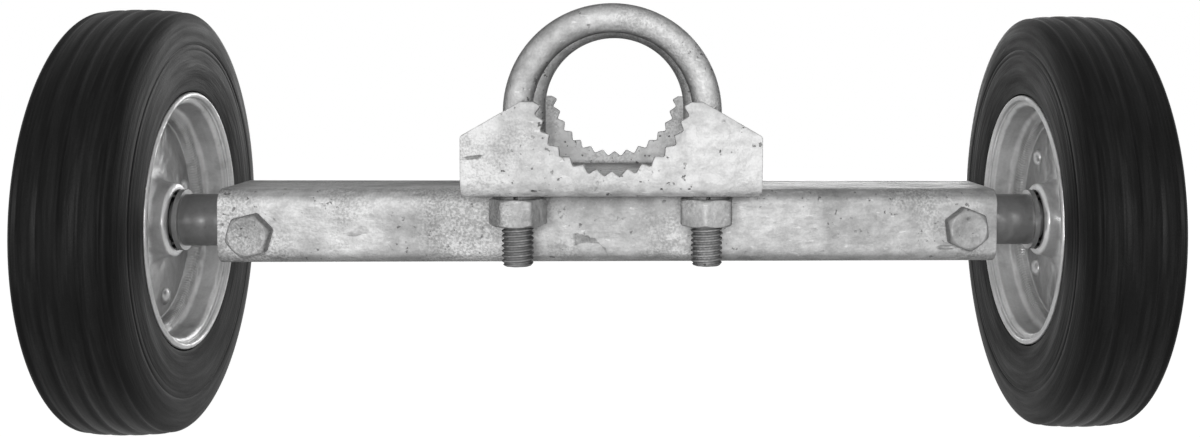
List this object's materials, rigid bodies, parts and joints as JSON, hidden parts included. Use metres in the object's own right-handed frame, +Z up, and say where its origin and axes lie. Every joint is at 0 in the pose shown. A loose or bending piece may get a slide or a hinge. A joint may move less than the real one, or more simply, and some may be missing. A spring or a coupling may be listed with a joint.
{
  "type": "twin-wheel clamp-on jack carrier",
  "caption": "Clamp-on axle carrier: a rectangular tube beam with a rubber-tyred wheel on a stub axle at each end and a toothed saddle with U-bolts that grips a round pipe or jack leg.",
  "frame": {"origin": "on the ground under the middle of the axle line, midway between the two wheels", "axes": "+X along the axle to the right, +Y to the rear along the clamped pipe, +Z up"},
  "size_m": [0.4246, 0.175, 0.1771],
  "materials": {
    "galvanised_tube": "hot-dip galvanised, dull with faint spangle",
    "galvanised_plate": "hot-dip galvanised, dull with runs and specks",
    "galvanised_weld": "rippled bead under galvanising",
    "galvanised_rod": "hot-dip galvanised round bar",
    "galvanised_fastener": "hot-dip galvanised, matt",
    "zinc_fastener": "zinc plated, satin",
    "bare_axle_steel": "dark drawn bar, oiled",
    "plain_washer_steel": "zinc plated, satin",
    "bearing_steel": "ground and polished",
    "cage_steel": "pressed sheet, satin",
    "tyre_rubber": "matt black rubber with dusty ribs",
    "zinc_pressing": "zinc plated pressed sheet, semi-gloss",
    "zinc_rivet": "zinc plated, semi-gloss"
  },
  "bodies": {
    "carrier": {"beam": "galvanised_tube", "saddle": "galvanised_plate", "saddle_welds": "galvanised_weld", "lock_washers": "galvanised_fastener", "left_axle_bolt": "zinc_fastener", "right_axle_bolt": "zinc_fastener", "axle_bolt_washers": "zinc_fastener", "axle_bolt_nuts": "zinc_fastener", "left_stub_axle": "bare_axle_steel", "left_shoulder_washer": "plain_washer_steel", "left_axle_sleeve": "plain_washer_steel", "left_inner_bearing_inner_ring": "bearing_steel", "left_bearing_spacer": "plain_washer_steel", "left_outer_bearing_inner_ring": "bearing_steel", "left_end_washer": "plain_washer_steel", "left_split_pin": "plain_washer_steel", "right_stub_axle": "bare_axle_steel", "right_shoulder_washer": "plain_washer_steel", "right_axle_sleeve": "plain_washer_steel", "right_inner_bearing_inner_ring": "bearing_steel", "right_bearing_spacer": "plain_washer_steel", "right_outer_bearing_inner_ring": "bearing_steel", "right_end_washer": "plain_washer_steel", "right_split_pin": "plain_washer_steel"},
    "left_wheel": {"left_tyre": "tyre_rubber", "left_inner_disc": "zinc_pressing", "left_outer_disc": "zinc_pressing", "left_rivets": "zinc_rivet", "left_inner_bearing_outer_ring": "bearing_steel", "left_outer_bearing_outer_ring": "bearing_steel"},
    "left_ball_sets": {"left_inner_bearing_balls": "bearing_steel", "left_inner_bearing_cage": "cage_steel", "left_outer_bearing_balls": "bearing_steel", "left_outer_bearing_cage": "cage_steel"},
    "right_wheel": {"right_tyre": "tyre_rubber", "right_inner_disc": "zinc_pressing", "right_outer_disc": "zinc_pressing", "right_rivets": "zinc_rivet", "right_inner_bearing_outer_ring": "bearing_steel", "right_outer_bearing_outer_ring": "bearing_steel"},
    "right_ball_sets": {"right_inner_bearing_balls": "bearing_steel", "right_inner_bearing_cage": "cage_steel", "right_outer_bearing_balls": "bearing_steel", "right_outer_bearing_cage": "cage_steel"},
    "front_clamp": {"front_u_bolt": "galvanised_rod"},
    "front_left_nut": {"front_left_clamp_nut": "galvanised_fastener"},
    "front_right_nut": {"front_right_clamp_nut": "galvanised_fastener"},
    "rear_clamp": {"rear_u_bolt": "galvanised_rod"},
    "rear_left_nut": {"rear_left_clamp_nut": "galvanised_fastener"},
    "rear_right_nut": {"rear_right_clamp_nut": "galvanised_fastener"}
  },
  "joints": [
    {"name": "left_wheel_spin", "type": "hinge", "parent": "carrier", "child": "left_wheel", "pos_m": [-0.1931, 0, 0.0875], "axis": [1, 0, 0], "continuous": true},
    {"name": "left_ball_sets_roll", "type": "hinge", "parent": "carrier", "child": "left_ball_sets", "pos_m": [-0.1931, 0, 0.0875], "axis": [1, 0, 0], "continuous": true},
    {"name": "right_wheel_spin", "type": "hinge", "parent": "carrier", "child": "right_wheel", "pos_m": [0.1931, 0, 0.0875], "axis": [1, 0, 0], "continuous": true},
    {"name": "right_ball_sets_roll", "type": "hinge", "parent": "carrier", "child": "right_ball_sets", "pos_m": [0.1931, 0, 0.0875], "axis": [1, 0, 0], "continuous": true},
    {"name": "front_left_nut_turn", "type": "hinge", "parent": "carrier", "child": "front_left_nut", "pos_m": [-0.0371, -0.03955, 0.0952], "axis": [0, 0, 1], "range_deg": [-2763, 1842]},
    {"name": "front_right_nut_turn", "type": "hinge", "parent": "carrier", "child": "front_right_nut", "pos_m": [0.0371, -0.03955, 0.0952], "axis": [0, 0, 1], "range_deg": [-2764, 1843]},
    {"name": "front_u_bolt_slide", "type": "slide", "parent": "carrier", "child": "front_clamp", "axis": [0, 0, 1], "range_m": [-0.0101, 0.0151]},
    {"name": "rear_left_nut_turn", "type": "hinge", "parent": "carrier", "child": "rear_left_nut", "pos_m": [-0.0371, 0.03955, 0.0952], "axis": [0, 0, 1], "range_deg": [-2763, 1842]},
    {"name": "rear_right_nut_turn", "type": "hinge", "parent": "carrier", "child": "rear_right_nut", "pos_m": [0.0371, 0.03955, 0.0952], "axis": [0, 0, 1], "range_deg": [-2764, 1843]},
    {"name": "rear_u_bolt_slide", "type": "slide", "parent": "carrier", "child": "rear_clamp", "axis": [0, 0, 1], "range_m": [-0.0101, 0.0151]}
  ],
  "couplings": [
    {"joint": "left_ball_sets_roll", "follows": "left_wheel_spin", "ratio": 0.619},
    {"joint": "right_ball_sets_roll", "follows": "right_wheel_spin", "ratio": 0.619},
    {"joint": "front_right_nut_turn", "follows": "front_left_nut_turn", "ratio": 1},
    {"joint": "front_u_bolt_slide", "follows": "front_left_nut_turn", "m_per_rad": -0.00031096},
    {"joint": "rear_right_nut_turn", "follows": "rear_left_nut_turn", "ratio": 1},
    {"joint": "rear_u_bolt_slide", "follows": "rear_left_nut_turn", "m_per_rad": -0.00031096}
  ]
}
